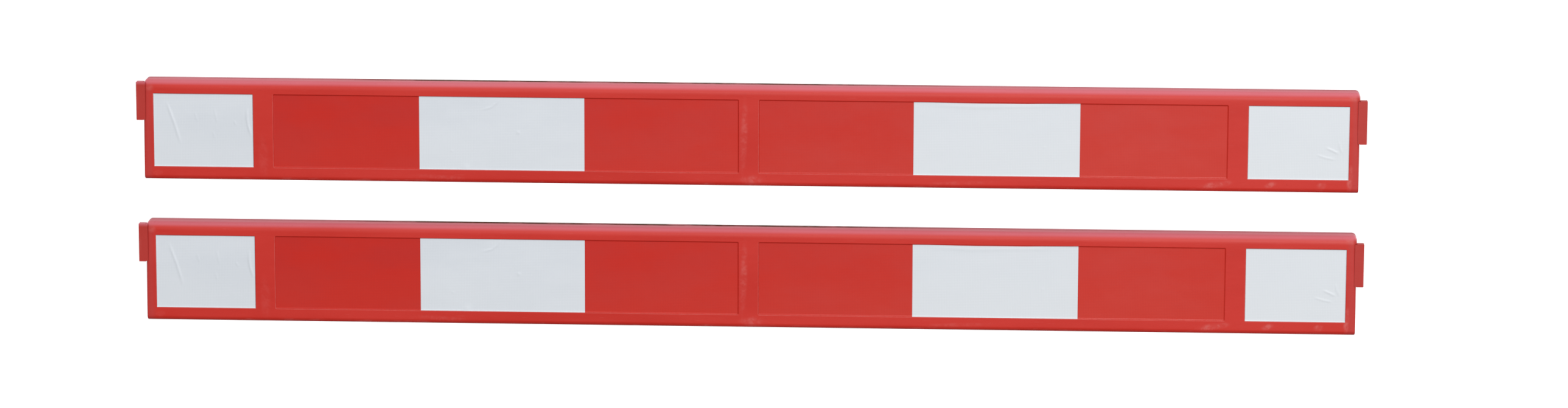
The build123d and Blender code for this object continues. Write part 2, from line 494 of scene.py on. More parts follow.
    def rim_highlight(self, along: Value, height: Value, opening: "Opening") -> Value:
        """Mask of the painted highlight: thin paler lines along a recess's lower and left rims.

        Args:
            along: X on the rail.
            height: Z on the rail.
            opening: The recess's edges.

        Returns:
            The mask.
        """
        across = self.between(along, opening.left, opening.right)
        up = self.between(height, opening.bottom, opening.top)
        left, low = self.rim_line(along, opening.left), self.rim_line(height, opening.bottom)
        return ((left * up) | (low * across)) * self.rim_strength

    def between(self, place: Value, low: float, high: float) -> Value:
        """Mask of the stretch between two edges."""
        return place.band(low, low + self.rim_fade) * place.band(high, high - self.rim_fade)

    def rim_line(self, place: Value, edge: float) -> Value:
        """Mask of a thin line along an edge."""
        inside = place.band(edge + self.rim_inside, edge + self.rim_core)
        return place.band(edge - self.rim_outside, edge) * inside

    def soiled_top(self, graph: Graph, place: Value) -> Value:
        """Mask of the soil that has settled along the back of the top face, thickest near the middle.

        Args:
            graph: The material's graph.
            place: Place on the rail.

        Returns:
            The mask.
        """
        along, across, height = (graph.axis(place, index) for index in range(3))
        strip = across.band(*self.soil_across) * height.band(*self.soil_height)
        middle = along.band(*self.soil_left) * along.band(*self.soil_right)
        breaks = self.soil_breaks.mask(graph, place).at_least(self.least_soil)
        return strip * (middle * self.soil_middle + self.soil_all_along) * breaks


@dataclass(frozen=True)
class Sheeting:
    """Reflective sheeting: a pigmented film over a fine regular cell pattern, with faint smears and painted
    light that turns it lighter towards the right and the bottom.
    """

    face: Colour
    smeared: Colour
    # Lit tone of the painted light gradient.
    lit_tone: Colour
    cell: Colour
    roughness: float
    coat: float
    smears: Pattern = Pattern(11.0, 4.0, 0.6, (0.35, 0.68), stretch=(0.5, 1.0, 1.3))
    # Painted light: the sheeting turns to its lit tone towards the right and towards the bottom.
    lit_towards_right: Band = (-0.7, 1.0)
    lit_towards_bottom: Band = (0.150, 0.040)
    right_share: float = 0.65
    low_share: float = 0.35
    cells_per_metre: float = 300.0
    cell_unevenness: float = 0.15
    cell_wall: Band = (0.12, 0.03)
    cell_share: float = 0.30
    specks: Pattern = Pattern(260.0, 3.0, 0.6, (0.68, 0.76), 0.25)
    smear_roughness: float = 0.08
    speck_roughness: float = 0.3
    coat_roughness: float = 0.22
    waves: Pattern = Pattern(16.0, 2.0, stretch=(1.0, 1.0, 0.7))
    wave_share: float = 5.0
    cell_crown: Band = (0.0, 0.10)
    crown_share: float = 0.25
    relief_height: float = 0.22 * MM
    relief_strength: float = 0.45

    def build(self, name: str, drop: float) -> bpy.types.Material:
        """Make the material.

        Args:
            name: The material's name.
            drop: Height of the rail's bottom in the frame.

        Returns:
            The finished material.
        """
        graph = Graph(name)
        place = graph.place(drop)
        smears = self.smears.noise(graph, place)
        colour = graph.mix(smears.band(*self.smears.band), self.face, self.smeared)
        # Painted light: lighter towards the right and the bottom.
        right = graph.axis(place, 0).band(*self.lit_towards_right)
        low = graph.axis(place, 2).band(*self.lit_towards_bottom)
        colour = graph.mix(right * self.right_share + low * self.low_share, colour, self.lit_tone)
        cells = {
            "Vector": graph.stretched(place, (1.0, 0.0, 1.0)),
            "Scale": self.cells_per_metre,
            "Randomness": self.cell_unevenness,
        }
        walls = graph.add("ShaderNodeTexVoronoi", {"feature": "DISTANCE_TO_EDGE"}, cells)
        colour = graph.mix(walls.band(*self.cell_wall) * self.cell_share, colour, self.cell)
        specks = self.specks.mask(graph, place)
        colour = graph.mix(specks, colour, self.cell)
        rough = self.roughness + smears.band(*NOISE_RANGE) * self.smear_roughness
        rough = rough + specks * self.speck_roughness
        waves = self.waves.noise(graph, place) * self.wave_share
        bumps = waves + walls.band(*self.cell_crown) * self.crown_share
        relief = graph.bump(bumps, self.relief_height, self.relief_strength)
        inputs = {"Base Color": colour, "Roughness": rough, "Normal": relief, "IOR": PLASTIC_IOR}
        return graph.finish(inputs | {"Coat Weight": self.coat, "Coat Roughness": self.coat_roughness})


WHITE_SHEETING = Sheeting(
    face=(0.700, 0.728, 0.765),
    smeared=(0.665, 0.695, 0.735),
    lit_tone=(0.702, 0.724, 0.748),
    cell=(0.560, 0.590, 0.630),
    roughness=0.42,
    coat=0.10,
)
RED_SHEETING = Sheeting(
    face=(0.566, 0.012, 0.003),
    smeared=(0.526, 0.009, 0.002),
    lit_tone=(0.582, 0.029, 0.015),
    cell=(0.420, 0.007, 0.003),
    roughness=0.30,
    coat=0.15,
)


@dataclass(frozen=True)
class PlatedSteel:
    """Zinc plated steel with a soft brushed grain and a little dulling."""

    bright: Colour = (0.62, 0.62, 0.60)
    dull: Colour = (0.36, 0.35, 0.33)
    spangle: Pattern = Pattern(700.0, 4.0, 0.6, (0.35, 0.65))
    tarnish: Pattern = Pattern(150.0, band=(0.45, 0.68))
    roughness: float = 0.28
    spangle_roughness: float = 0.14
    tarnish_roughness: float = 0.2
    relief_height: float = 0.06 * MM
    relief_strength: float = 0.4

    def build(self, name: str, drop: float) -> bpy.types.Material:
        """Make the material.

        Args:
            name: The material's name.
            drop: Height of the rail's bottom in the frame.

        Returns:
            The finished material.
        """
        graph = Graph(name)
        place = graph.place(drop)
        spangle = self.spangle.noise(graph, place)
        tarnish = self.tarnish.mask(graph, place)
        colour = graph.mix(tarnish, self.bright, self.dull)
        rough = self.roughness + spangle.band(*self.spangle.band) * self.spangle_roughness
        rough = rough + tarnish * self.tarnish_roughness
        relief = graph.bump(spangle, self.relief_height, self.relief_strength)
        return graph.finish({"Base Color": colour, "Roughness": rough, "Normal": relief, "Metallic": 1.0})


# ---------------------------------------------------------------- mesh helpers

SAME_PLACE = 1e-7
ROUNDING = 1e-6
ROD_SEGMENTS = 40
FILM_CREASE_ANGLE = 50.0
SCREW_CREASE_ANGLE = 30.0


def soft_ramp(t: np.ndarray, blend: float = 0.3) -> np.ndarray:
    """Ramp from 0 to 1 over t in 0..1, with both corners rounded.

    Args:
        t: Places along the ramp.
        blend: Half width of each rounded corner.

    Returns:
        The ramp's height at each place.
    """

    def rising(v: np.ndarray) -> np.ndarray:
        """Positive part of v with a rounded corner."""
        return np.where(v > blend, v, np.where(v < -blend, 0.0, (v + blend) ** 2 / (4 * blend)))

    return rising(t) - rising(t - 1.0)


def filled(marks: list[float], step: float) -> np.ndarray:
    """Sorted marks with even stations between them, no further apart than step.

    Args:
        marks: Places that stations have to fall on.
        step: Largest distance between two stations.

    Returns:
        The stations in order.
    """
    marks = sorted(marks)
    stations = [marks[0]]
    for low, high in zip(marks, marks[1:]):
        if high - low > SAME_PLACE:
            count = max(1, math.ceil((high - low) / step - ROUNDING))
            stations += [low + (high - low) * k / count for k in range(1, count + 1)]
    return np.array(stations)


def grid_faces(rows: int, columns: int, start: int, flip: bool) -> list[tuple[int, ...]]:
    """Quads of a grid of vertices that are numbered row by row.

    Args:
        rows: Number of vertex rows.
        columns: Number of vertices in each row.
        start: Number of the first vertex.
        flip: Whether the quads turn the other way.

    Returns:
        The vertex numbers of each quad.
    """
    faces = []
    for i in range(rows - 1):
        for j in range(columns - 1):
            a = start + i * columns + j
            quad = (a, a + columns, a + columns + 1, a + 1)
            faces.append(quad[::-1] if flip else quad)
    return faces


def slab_mesh(name: str, outer: np.ndarray, inner: np.ndarray, capped: bool) -> bpy.types.Mesh:
    """Closed mesh between two grids of the same layout.

    Args:
        name: The mesh's name.
        outer: Points of the outer skin, as rows x columns x 3.
        inner: Points of the inner skin.
        capped: Whether the first and last rows are closed flat, as the ends of a casing are.

    Returns:
        The mesh, with its faces outwards.
    """
    rows, columns = outer.shape[:2]
    count = rows * columns
    points = np.concatenate([outer.reshape(-1, 3), inner.reshape(-1, 3)])
    faces = grid_faces(rows, columns, 0, False) + grid_faces(rows, columns, count, True)
    for column in (0, columns - 1):
        for i in range(rows - 1):
            a, b = i * columns + column, (i + 1) * columns + column
            faces.append((a, b, b + count, a + count))
    for row in (0, rows - 1):
        first, last = row * columns, (row + 1) * columns - 1
        if capped:
            faces.append(tuple(range(first, last + 1)))
            faces.append(tuple(range(first + count, last + 1 + count)))
            faces.append((first, last, last + count, first + count))
        else:
            faces += [(a, a + 1, a + 1 + count, a + count) for a in range(first, last)]
    mesh = bpy.data.meshes.new(name)
    mesh.from_pydata(points.tolist(), [], faces)
    turn_outwards(mesh)
    return mesh


def turn_outwards(mesh: bpy.types.Mesh) -> None:
    """Make the faces of a closed mesh point outwards.

    Args:
        mesh: The mesh, which is changed.
    """
    bm = bmesh.new()
    bm.from_mesh(mesh)
    bmesh.ops.recalc_face_normals(bm, faces=bm.faces[:])
    bm.to_mesh(mesh)
    bm.free()


def smooth(mesh: bpy.types.Mesh, crease_angle: float = 34.0) -> None:
    """Shade a mesh smooth, with sharp edges above an angle in degrees."""
    mesh.shade_smooth()
    mesh.set_sharp_from_angle(angle=math.radians(crease_angle))


def link_object(name: str, mesh: bpy.types.Mesh) -> bpy.types.Object:
    """Put a mesh into the scene as an object at the origin.

    Args:
        name: The object's name.
        mesh: Its mesh.

    Returns:
        The object.
    """
    piece = bpy.data.objects.new(name, mesh)
    bpy.context.scene.collection.objects.link(piece)
    return piece


def baked_mesh(piece: bpy.types.Object, name: str) -> bpy.types.Mesh:
    """Plain mesh of an object as its modifiers leave it.

    Args:
        piece: The object.
        name: The new mesh's name.

    Returns:
        The mesh.
    """
    graph = bpy.context.evaluated_depsgraph_get()
    mesh = bpy.data.meshes.new_from_object(piece.evaluated_get(graph))
    mesh.name = name
    return mesh


def add_rod(bm: bmesh.types.BMesh, place: Matrix, radius: float, length: float, segments: int) -> None:
    """Add a closed round rod to a bmesh, along the Z axis of its place."""
    size = {"radius1": radius, "radius2": radius, "depth": length}
    bmesh.ops.create_cone(bm, cap_ends=True, segments=segments, matrix=place, **size)


def y_cylinder(
    bm: bmesh.types.BMesh, x: float, z: float, radius: float, y_from: float, y_to: float
) -> None:
    """Add a closed round rod along Y to a bmesh."""
    place = Matrix.Translation((x, (y_from + y_to) / 2, z)) @ Matrix.Rotation(math.pi / 2, 4, "X")
    add_rod(bm, place, radius, abs(y_to - y_from), ROD_SEGMENTS)


def combined(mesh: bpy.types.Mesh, tool: bmesh.types.BMesh, operation: Boolean) -> bpy.types.Mesh:
    """Cut closed solids out of a closed mesh, or join them to it.

    Args:
        mesh: The mesh to change, which is used up.
        tool: The solids, which are freed.
        operation: Whether they are cut out or joined.

    Returns:
        The new mesh, under the same name.
    """
    tool_mesh = bpy.data.meshes.new("tool")
    tool.to_mesh(tool_mesh)
    tool.free()
    tool_piece, body = link_object("tool", tool_mesh), link_object("tool_body", mesh)
    modifier = body.modifiers.new("combine", "BOOLEAN")
    modifier.operation, modifier.solver, modifier.object = operation.value, "EXACT", tool_piece
    result = baked_mesh(body, mesh.name)
    for piece in (tool_piece, body):
        bpy.data.objects.remove(piece)
    return result


def raised(mesh: bpy.types.Mesh, height: float) -> bpy.types.Mesh:
    """Copy of a mesh moved up by a height.

    Args:
        mesh: The mesh to copy.
        height: How far up, in metres.

    Returns:
        The moved copy.
    """
    copy = mesh.copy()
    copy.transform(Matrix.Translation((0.0, 0.0, height)))
    return copy


# ---------------------------------------------------------------- rail form


@dataclass(frozen=True)
class Opening:
    """Rectangular recess, by its edges at the face of the rail."""

    left: float
    right: float
    bottom: float
    top: float
    corner: float = 2.5 * MM

    def inset(self, x: np.ndarray, z: np.ndarray) -> np.ndarray:
        """Distance inwards from the opening's rounded edge, under 0 outside it.

        Args:
            x: Places along the rail.
            z: Heights on the rail.

        Returns:
            The distance at each place.
        """
        across = np.minimum(x - self.left, self.right - x)
        up = np.minimum(z - self.bottom, self.top - z)
        round_part = self.corner - np.hypot(self.corner - across, self.corner - up)
        in_corner = (across < self.corner) & (up < self.corner)
        return np.where(in_corner, round_part, np.minimum(across, up))


@dataclass(frozen=True)
class RailForm:
    """Shape of one rail that stands on Z = 0, with its overall sizes and recesses read from the frame."""

    half_length: float
    height: float
    half_thickness: float
    openings: tuple[Opening, ...]
    wall: float = 3.5 * MM
    top_round_depth: float = 14.0 * MM
    top_round_height: float = 18.0 * MM
    low_radius: float = 10.0 * MM
    rear_round: float = 11.0 * MM
    top_end_radius: float = 9.0 * MM
    low_end_radius: float = 2.6 * MM
    inner_end_radius: float = 5.5 * MM
    recess_depth: float = 2.5 * MM
    recess_slope: float = 1.6 * MM
    film_clearance: float = 0.2 * MM
    parting_chamfer: float = 0.45 * MM
    lip_stations: tuple[float, ...] = (-1.1, -0.6, -0.25, 0.1, 0.5, 0.9, 1.3, 1.7, 2.1, 2.8)
    length_step: float = 14.0 * MM
    face_step: float = 8.0 * MM
    arc_steps: int = 8
    sink_depth: float = 0.28 * MM
    sinks_along: float = 5.0
    sinks_up: float = 11.0

    @classmethod
    def from_frame(cls) -> "RailForm":
        """Read the rail's sizes from the lower rail's boxes in the frame.

        Returns:
            The form.
        """
        low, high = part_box("lower_front_shell")
        gap = cls.recess_slope + cls.film_clearance
        edges = [("white_left_end", "white_left_end"), ("red_left_outer", "red_left_inner")]
        edges += [("red_right_inner", "red_right_outer"), ("white_right_end", "white_right_end")]
        openings = []
        for first, last in edges:
            left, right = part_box(f"lower_front_{first}")[0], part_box(f"lower_front_{last}")[1]
            openings.append(Opening(left.x - gap, right.x + gap, left.z - gap, right.z + gap))
        return cls(high.x, high.z, -low.y, tuple(openings))

    def recess(self, x: np.ndarray, z: np.ndarray, spread: float = 0.0) -> np.ndarray:
        """Depth of the recessed face under the rail's flat front.

        Args:
            x: Places along the rail.
            z: Heights on the rail.
            spread: How much wider than the openings the recess is drawn.

        Returns:
            The depth at each place.
        """
        inset = np.max([opening.inset(x, z) for opening in self.openings], axis=0)
        return self.recess_depth * soft_ramp((inset + spread) / self.recess_slope)

    def length_stations(self) -> tuple[np.ndarray, np.ndarray]:
        """Columns of the skin along the rail.

        Returns:
            X of each column before its end is rounded, and its angle round the end, in radians and
            signed like X, which is 0 up to where the rounding starts.
        """
        reach = self.half_length - self.top_end_radius
        marks = [-reach, reach]
        for opening in self.openings:
            marks += [opening.left + s * MM for s in self.lip_stations]
            marks += [opening.right - s * MM for s in self.lip_stations]
        middle = filled(marks, self.length_step)
        angles = np.linspace(0, math.pi / 2, self.arc_steps + 1)
        x = np.concatenate([np.full(len(angles), -reach), middle[1:-1], np.full(len(angles), reach)])
        turn = np.concatenate([-angles[::-1], np.zeros(len(middle) - 2), angles])
        return x, turn

    def profile(self) -> tuple[np.ndarray, np.ndarray, np.ndarray]:
        """Half section from the top parting line round the front to the bottom one.

        Returns:
            Each station as (y, z), its outward direction, and 1 where it is on the flat front.
        """
        front, low = -self.half_thickness, self.low_radius
        deep, tall = self.top_round_depth, self.top_round_height
        marks = [low, self.height - tall]
        edge = self.openings[0]
        marks += [edge.bottom + s * MM for s in self.lip_stations]
        marks += [edge.top - s * MM for s in self.lip_stations]
        angles = np.linspace(0, math.pi / 2, self.arc_steps + 1)
        rows = [(0.0, self.height, 0.0, 1.0, 0.0)]
        rows += [(y, self.height, 0.0, 1.0, 0.0) for y in -self.flat_stations(-front - deep)]
        for angle in angles[1:-1]:
            y, z = front + deep * (1 - math.sin(angle)), self.height - tall * (1 - math.cos(angle))
            outward = Vector((-math.sin(angle) / deep, math.cos(angle) / tall)).normalized()
            rows.append((y, z, outward.x, outward.y, 0.0))
        rows += [(front, z, -1.0, 0.0, 1.0) for z in filled(marks, self.face_step)[::-1]]
        for angle in angles[1:-1]:
            y, z = front + low * (1 - math.cos(angle)), low * (1 - math.sin(angle))
            rows.append((y, z, -math.cos(angle), -math.sin(angle), 0.0))
        rows += [(y, 0.0, 0.0, -1.0, 0.0) for y in -self.flat_stations(-front - low)[::-1]]
        rows += [(0.0, 0.0, 0.0, -1.0, 0.0)]
        table = np.array(rows)
        return table[:, 0:2], table[:, 2:4], table[:, 4]

    def flat_stations(self, width: float) -> np.ndarray:
        """Distances from the parting line of the stations on a flat top or bottom of that half width."""
        return filled([self.parting_chamfer, self.parting_chamfer * 3, width], self.face_step)

    def end_radii(self, heights: np.ndarray) -> np.ndarray:
        """Radius of the rail's end at each height, which grows from the bottom edge to the top one.

        Args:
            heights: Heights on the rail.

        Returns:
            The radius at each height.
        """
        low = self.low_radius
        share = np.clip((heights - low) / (self.height - self.top_round_height - low), 0, 1)
        eased = share**2 * (3 - 2 * share)
        return self.low_end_radius + (self.top_end_radius - self.low_end_radius) * eased

    def skin(self, inner: bool) -> np.ndarray:
        """Points of the front half's outer or inner skin, as columns along X x profile x 3.

        Args:
            inner: Whether the inner skin is made.

        Returns:
            The points.
        """
        x, turn = self.length_stations()
        base, outward, on_face = self.profile()
        end = self.end_radii(base[:, 1])[None, :]
        reach = self.half_length
        if inner:
            end = np.full_like(end, self.inner_end_radius)
            reach -= self.wall
        turned = np.sin(np.abs(turn))[:, None]
        at_end = (np.abs(turn) > 0)[:, None]
        length = np.where(at_end, np.sign(x)[:, None] * (reach - end + end * turned), x[:, None])
        inset = end * (1 - np.cos(turn))[:, None]
        if inner:
            depth = self.recess(x[:, None], base[None, :, 1], self.wall - self.recess_slope)
            inset = inset + self.wall
        else:
            depth = self.recess(x[:, None], base[None, :, 1]) + self.sink(x, base[:, 1])
            inset[:, [0, -1]] += self.parting_chamfer
        inset = inset + depth * on_face[None, :]
        points = np.empty((*inset.shape, 3))
        points[..., 0] = length
        points[..., 1:] = base[None] - inset[..., None] * outward[None]
        return points

    def sink(self, x: np.ndarray, z: np.ndarray) -> np.ndarray:
        """Slight hollows that the moulding cools into, a few tenths of a millimetre deep.

        Args:
            x: Places along the rail.
            z: Heights on the rail.

        Returns:
            The depth at each place, in metres.
        """
        depth = np.empty((len(x), len(z)))
        for i, along in enumerate(x):
            for j, up in enumerate(z):
                place = Vector((along * self.sinks_along, 0.0, up * self.sinks_up))
                depth[i, j] = 0.5 + 0.5 * noise.noise(place)
        return depth * self.sink_depth


@dataclass(frozen=True)
class Boss:
    """Boss inside the rear shell: its radius, its start under the back face and the Y of its end."""

    radius: float
    start: float
    end: float


@dataclass(frozen=True)
class Fixings:
    """Places and holes of the shells' fixings, in metres."""

    screw_columns: int = 9
    screw_head_radius: float = 4.75 * MM
    screw_hole: float = 2.9 * MM
    screw_hole_depth: float = 13.5 * MM
    screw_bore: float = 5.25 * MM
    screw_sink: float = 4.5 * MM
    screw_boss: Boss = Boss(7.6 * MM, 3.0 * MM, 5.0 * MM)
    screw_rows: tuple[float, float] = (13.6 * MM, 194.4 * MM)
    bolt_bore: float = 6.77 * MM
    bolt_sink: float = 8.0 * MM
    bolt_boss: Boss = Boss(8.9 * MM, 5.0 * MM, 12.0 * MM)
    bolt_spacing: float = 46.0 * MM
    bolt_from_end: float = 27.0 * MM
    drain_radius: float = 3.0 * MM
    drain_y: float = 12.0 * MM
    drain_length: float = 14.0 * MM
    drain_segments: int = 32
    drain_shift: float = 0.25
    tongue_shoulder: float = 1.0 * MM
    tongue_gap: float = 0.3 * MM
    tongue_notch: float = 4.0 * MM

    def screw_spacing(self) -> float:
        """Distance between two screw columns, from the ends of the row in the frame."""
        low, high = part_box("lower_shell_screws")
        return (high.x - low.x - 2 * self.screw_head_radius) / (self.screw_columns - 1)

    def screw_places(self) -> list[Point]:
        """X and Z of every shell screw.

        Returns:
            The places, column by column.
        """
        reach = (self.screw_columns - 1) / 2
        columns = [(k - reach) * self.screw_spacing() for k in range(self.screw_columns)]
        return [(x, z) for x in columns for z in self.screw_rows]

    def bolt_places(self, half_length: float) -> list[Point]:
        """X and Z of every tongue bolt.

        Args:
            half_length: Half of the rail's length between its end faces.

        Returns:
            The places, two at each end.
        """
        places = []
        for sign, node in ((-1, "lower_left_tongue"), (1, "lower_right_tongue")):
            low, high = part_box(node)
            middle = (low.z + high.z) / 2
            x = sign * (half_length - self.bolt_from_end)
            places += [(x, middle - self.bolt_spacing / 2), (x, middle + self.bolt_spacing / 2)]
        return places


@dataclass
class ShellMaker:
    """Makes the two moulded shells of a rail."""

    form: RailForm
    fixings: Fixings = field(default_factory=Fixings)

    def front(self) -> bpy.types.Mesh:
        """Front shell, with a notch for each tongue's neck.

        Returns:
            The mesh, for a rail that stands on Z = 0.
        """
        mesh = slab_mesh("front_shell", self.form.skin(False), self.form.skin(True), True)
        cutter = bmesh.new()
        gap = self.fixings.tongue_gap
        for sign, node in ((-1, "lower_left_tongue"), (1, "lower_right_tongue")):
            low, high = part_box(node)
            inner_x = sign * (self.form.half_length - self.fixings.tongue_notch - gap)
            outer_x = sign * (self.form.half_length + self.form.wall)
            corner_low = Vector((0, low.y - self.form.wall, low.z + self.fixings.tongue_shoulder - gap))
            corner_high = Vector((0, high.y + gap, high.z - self.fixings.tongue_shoulder + gap))
            corner_low.x, corner_high.x = sorted((inner_x, outer_x))
            size = corner_high - corner_low
            place = Matrix.Translation((corner_low + corner_high) / 2) @ Matrix.Diagonal((*size, 1.0))
            bmesh.ops.create_cube(cutter, size=1.0, matrix=place)
        mesh = combined(mesh, cutter, Boolean.CUT)
        smooth(mesh)
        return mesh

    def rear(self) -> bpy.types.Mesh:
        """Rear shell, with counterbored screw and bolt holes and drains.

        Returns:
            The mesh, for a rail that stands on Z = 0.
        """
        flip = np.array([1.0, -1.0, 1.0])
        edge = self.form.rear_round
        form = replace(self.form, top_round_depth=edge, top_round_height=edge)
        mesh = slab_mesh("rear_shell", form.skin(False) * flip, form.skin(True) * flip, True)
        fix, back = self.fixings, self.form.half_thickness
        bores, holes = bmesh.new(), bmesh.new()
        for x, z in fix.screw_places():
            y_cylinder(bores, x, z, fix.screw_bore, back + MM, back - fix.screw_sink)
            y_cylinder(holes, x, z, fix.screw_hole, back + MM, back - fix.screw_hole_depth)
        for x, z in fix.bolt_places(self.form.half_length):
            y_cylinder(bores, x, z, fix.bolt_bore, back + MM, back - fix.bolt_sink)
        for k in range(fix.screw_columns - 1):
            x = (k - (fix.screw_columns - 1) / 2 + fix.drain_shift) * fix.screw_spacing()
            place = Matrix.Translation((x, fix.drain_y, 0.0))
            add_rod(holes, place, fix.drain_radius, fix.drain_length, fix.drain_segments)
        mesh = combined(self.with_bosses(mesh), bores, Boolean.CUT)
        mesh = combined(mesh, holes, Boolean.CUT)
        smooth(mesh)
        return mesh

    def with_bosses(self, mesh: bpy.types.Mesh) -> bpy.types.Mesh:
        """Join the floor that each counterbore is sunk into, inside the rear shell.

        Args:
            mesh: The shell's mesh, which is used up.

        Returns:
            The mesh with its bosses.
        """
        fix, back = self.fixings, self.form.half_thickness
        rods = bmesh.new()
        for x, z in fix.screw_places():
            y_cylinder(rods, x, z, fix.screw_boss.radius, back - fix.screw_boss.start, fix.screw_boss.end)
        for x, z in fix.bolt_places(self.form.half_length):
            y_cylinder(rods, x, z, fix.bolt_boss.radius, back - fix.bolt_boss.start, fix.bolt_boss.end)
        return combined(mesh, rods, Boolean.JOIN)


# ---------------------------------------------------------------- sheeting


@dataclass(frozen=True)
class Crease:
    """Raised line in a film, through points in millimetres from the film's lower left corner."""

    points: tuple[Point, ...]
    height: float
    width: float
    end_height: float = 0.25
    end_fade: float = 4.0

    def lift(self, u: np.ndarray, v: np.ndarray) -> np.ndarray:
        """Height of the crease at each place, in millimetres, fading towards its two ends.

        Args:
            u: Places along the film, from its lower left corner.
            v: Heights on the film.

        Returns:
            The height at each place.
        """
        best = np.full(np.broadcast(u, v).shape, np.inf)
        run = np.zeros_like(best)
        spans = list(zip(self.points, self.points[1:]))
        for k, ((ax, az), (bx, bz)) in enumerate(spans):
            length = math.hypot(bx - ax, bz - az)
            t = np.clip(((u - ax) * (bx - ax) + (v - az) * (bz - az)) / length**2, 0, 1)
            distance = np.hypot(u - ax - t * (bx - ax), v - az - t * (bz - az))
            nearer = distance < best
            best = np.where(nearer, distance, best)
            run = np.where(nearer, (k + t) / len(spans), run)
        fade = np.clip(np.minimum(run, 1 - run) * self.end_fade + self.end_height, 0, 1)
        return self.height * fade * np.exp(-((best / self.width) ** 2))


@dataclass(frozen=True)
class Bubble:
    """Round blister of air under a film, in millimetres from the film's lower left corner."""

    u: float
    v: float
    radius: float
    height: float

    def lift(self, u: np.ndarray, v: np.ndarray) -> np.ndarray:
        """Height of the blister at each place, in millimetres."""
        return self.height * np.exp(-(np.hypot(u - self.u, v - self.v) / self.radius) ** 2)


@dataclass(frozen=True)
class Film:
    """One strip of sheeting in a recess, with the marks that its laying left.

    The ripple of its top edge and the step of its mesh are in millimetres, and its top edge is
    pairs of the share of its length and the rise there, in millimetres.
    """

    name: str
    slot: str
    marks: tuple[Crease | Bubble, ...] = ()
    top_ripple: float = 0.25
    step: float = 2.6
    top_edge: tuple[Point, ...] = ((0.0, 0.0), (1.0, 0.0))


WHITE_LEFT_END_MARKS = (
    Crease(((28, 132), (34, 114), (42, 92), (48, 72), (54, 50)), 0.80, 2.6),
    Crease(((194, 120), (193, 104), (195, 88), (201, 66)), 1.05, 2.3),
    Crease(((126, 121), (128, 108), (131, 93)), 0.32, 2.0),
    Crease(((85, 113), (90, 96)), 0.30, 2.0),
    Crease(((166, 97), (170, 88)), 0.35, 1.8),
    Crease(((123, 73), (126, 60)), 0.30, 1.8),
)
WHITE_LEFT_MIDDLE_MARKS = (
    Crease(((167, 152), (161, 141), (149, 131), (128, 125)), 0.55, 2.0),
    Bubble(204, 79, 3.2, 0.6),
    Bubble(67, 39, 2.0, 0.4),
    Bubble(96, 3, 8.0, 0.8),
)
WHITE_RIGHT_MIDDLE_MARKS = (
    Crease(((40, 147), (120, 143), (210, 145), (300, 147)), 0.35, 4.0),
    Bubble(268, 61, 2.2, 0.3),
)
WHITE_RIGHT_END_MARKS = (
    Crease(((160, 66), (172, 61), (184, 55)), 0.65, 2.2),
    Crease(((142, 51), (158, 46), (177, 42)), 0.45, 2.0),
    Crease(((185, 80), (187, 68), (192, 56)), 0.50, 2.0),
)

LIFTED_TOP_EDGE = (
    (0.0, -0.6),
    (0.08, -0.5),
    (0.2, -1.0),
    (0.4, -1.5),
    (0.68, -1.3),
    (0.8, -0.4),
    (1.0, 0.6),
)

FRONT_FILMS = (
    Film("white_left_end", "white_sheeting", WHITE_LEFT_END_MARKS, 0.35, 1.5),
    Film("red_left_outer", "red_sheeting"),
    Film("white_left_middle", "white_sheeting", WHITE_LEFT_MIDDLE_MARKS, 0.2, 1.7),
    Film("red_left_inner", "red_sheeting"),
    Film("red_right_inner", "red_sheeting"),
    Film("white_right_middle", "white_sheeting", WHITE_RIGHT_MIDDLE_MARKS, 0.3, 1.7, LIFTED_TOP_EDGE),
    Film("red_right_outer", "red_sheeting"),
    Film("white_right_end", "white_sheeting", WHITE_RIGHT_END_MARKS, 0.3, 1.5),
)
REAR_FILMS = tuple(Film(film.name, film.slot, (), 0.3) for film in FRONT_FILMS)


